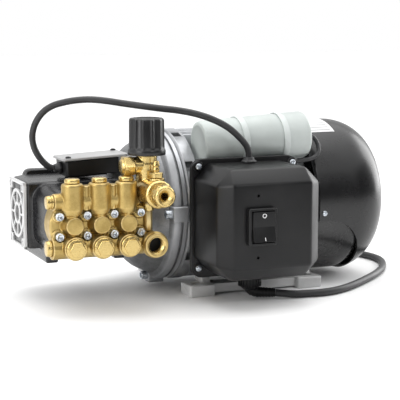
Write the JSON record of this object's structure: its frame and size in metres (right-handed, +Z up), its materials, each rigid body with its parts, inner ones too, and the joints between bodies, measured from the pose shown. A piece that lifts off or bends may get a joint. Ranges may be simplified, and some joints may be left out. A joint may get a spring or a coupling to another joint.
{
  "type": "pressure washer pump",
  "caption": "Electric motor on feet driving a brass plunger pump with a pressure regulator, switch box, capacitor and leads.",
  "frame": {"origin": "on the floor below the middle of the machine without its mains lead", "axes": "+X along the motor shaft from the pump to the fan, -Y towards the pump ports and the switch, +Z up"},
  "size_m": [0.4558, 0.397, 0.2134],
  "materials": {
    "cast_aluminium": "as-cast, fine grained, satin",
    "cast_grey": "as-cast grey, matt",
    "lamination_steel": "stacked sheet steel",
    "machined_steel": "ground",
    "zinc_plate": "bright zinc plate",
    "cast_brass": "tumbled casting, satin",
    "machined_brass": "turned, bright",
    "black_paint": "gloss black paint",
    "silver_paint": "silver, satin",
    "black_plastic": "moulded, satin gloss",
    "knob_plastic": "moulded, satin",
    "pale_plastic": "smooth, satin",
    "rubber": "soft matt"
  },
  "bodies": {
    "housing": {"motor_frame": "cast_aluminium", "front_shield": "cast_aluminium", "bell_housing": "cast_aluminium", "foot_rail_front": "cast_grey", "foot_rail_back": "cast_grey", "capacitor_bracket": "cast_grey", "stator": "lamination_steel", "head_bolt_1": "zinc_plate", "head_bolt_2": "zinc_plate", "head_bolt_3": "zinc_plate", "head_bolt_4": "zinc_plate", "head_bolt_5": "zinc_plate", "head_bolt_6": "zinc_plate", "head_bolt_7": "zinc_plate", "head_bolt_8": "zinc_plate", "manifold": "cast_brass", "bypass_pipe": "cast_brass", "discharge_cap_1": "machined_brass", "discharge_cap_2": "machined_brass", "discharge_cap_3": "machined_brass", "suction_cap_1": "machined_brass", "suction_cap_2": "machined_brass", "suction_cap_3": "machined_brass", "outlet_port_plug": "machined_brass", "inlet_port_plug": "machined_brass", "unloader_body": "machined_brass", "outlet_fitting": "machined_brass", "unloader_plug": "machined_brass", "bypass_nipple": "machined_brass", "rear_casing": "black_paint", "crankcase": "black_paint", "rear_cover": "black_paint", "end_cover": "silver_paint", "control_box_lid": "silver_paint", "fan_cowl": "black_plastic", "terminal_box_base": "black_plastic", "terminal_box_cover": "black_plastic", "switch_frame": "black_plastic", "control_box": "black_plastic", "power_plug": "black_plastic", "capacitor": "pale_plastic", "power_gland": "rubber", "control_grommet": "rubber", "capacitor_lead": "rubber", "control_gland": "rubber", "control_cable": "rubber", "power_cable": "rubber", "power_cable_coil": "rubber"},
    "rotor": {"motor_rotor": "machined_steel", "crankshaft": "machined_steel", "cooling_fan": "black_plastic"},
    "plunger_set_1": {"plunger_1": "machined_steel", "con_rod_1": "machined_steel"},
    "plunger_set_2": {"plunger_2": "machined_steel", "con_rod_2": "machined_steel"},
    "plunger_set_3": {"plunger_3": "machined_steel", "con_rod_3": "machined_steel"},
    "knob": {"regulator_knob": "knob_plastic"},
    "spindle": {"regulator_spindle": "machined_steel"},
    "rocker": {"switch_rocker": "black_plastic"}
  },
  "joints": [
    {"name": "rotor_spin", "type": "hinge", "parent": "housing", "child": "rotor", "pos_m": [-0.03905, 0.04725, 0.09], "axis": [1, 0, 0], "continuous": true},
    {"name": "plunger_1_stroke", "type": "slide", "parent": "housing", "child": "plunger_set_1", "axis": [0, 1, 0], "range_m": [-0.005, 0.005]},
    {"name": "plunger_2_stroke", "type": "slide", "parent": "housing", "child": "plunger_set_2", "axis": [0, 1, 0], "range_m": [-0.005, 0.005]},
    {"name": "plunger_3_stroke", "type": "slide", "parent": "housing", "child": "plunger_set_3", "axis": [0, 1, 0], "range_m": [-0.005, 0.005]},
    {"name": "knob_turn", "type": "hinge", "parent": "housing", "child": "knob", "pos_m": [-0.09755, -0.06475, 0.1584], "axis": [0, 0, 1], "range_deg": [-720, 360]},
    {"name": "spindle_travel", "type": "slide", "parent": "housing", "child": "spindle", "axis": [0, 0, 1], "range_m": [-0.003, 0.0015]},
    {"name": "switch_rock", "type": "hinge", "parent": "housing", "child": "rocker", "pos_m": [0.00295, -0.12675, 0.0875], "axis": [1, 0, 0], "range_deg": [0, 12]}
  ],
  "couplings": [
    {"joint": "spindle_travel", "follows": "knob_turn", "m_per_rad": 0.00023873}
  ]
}
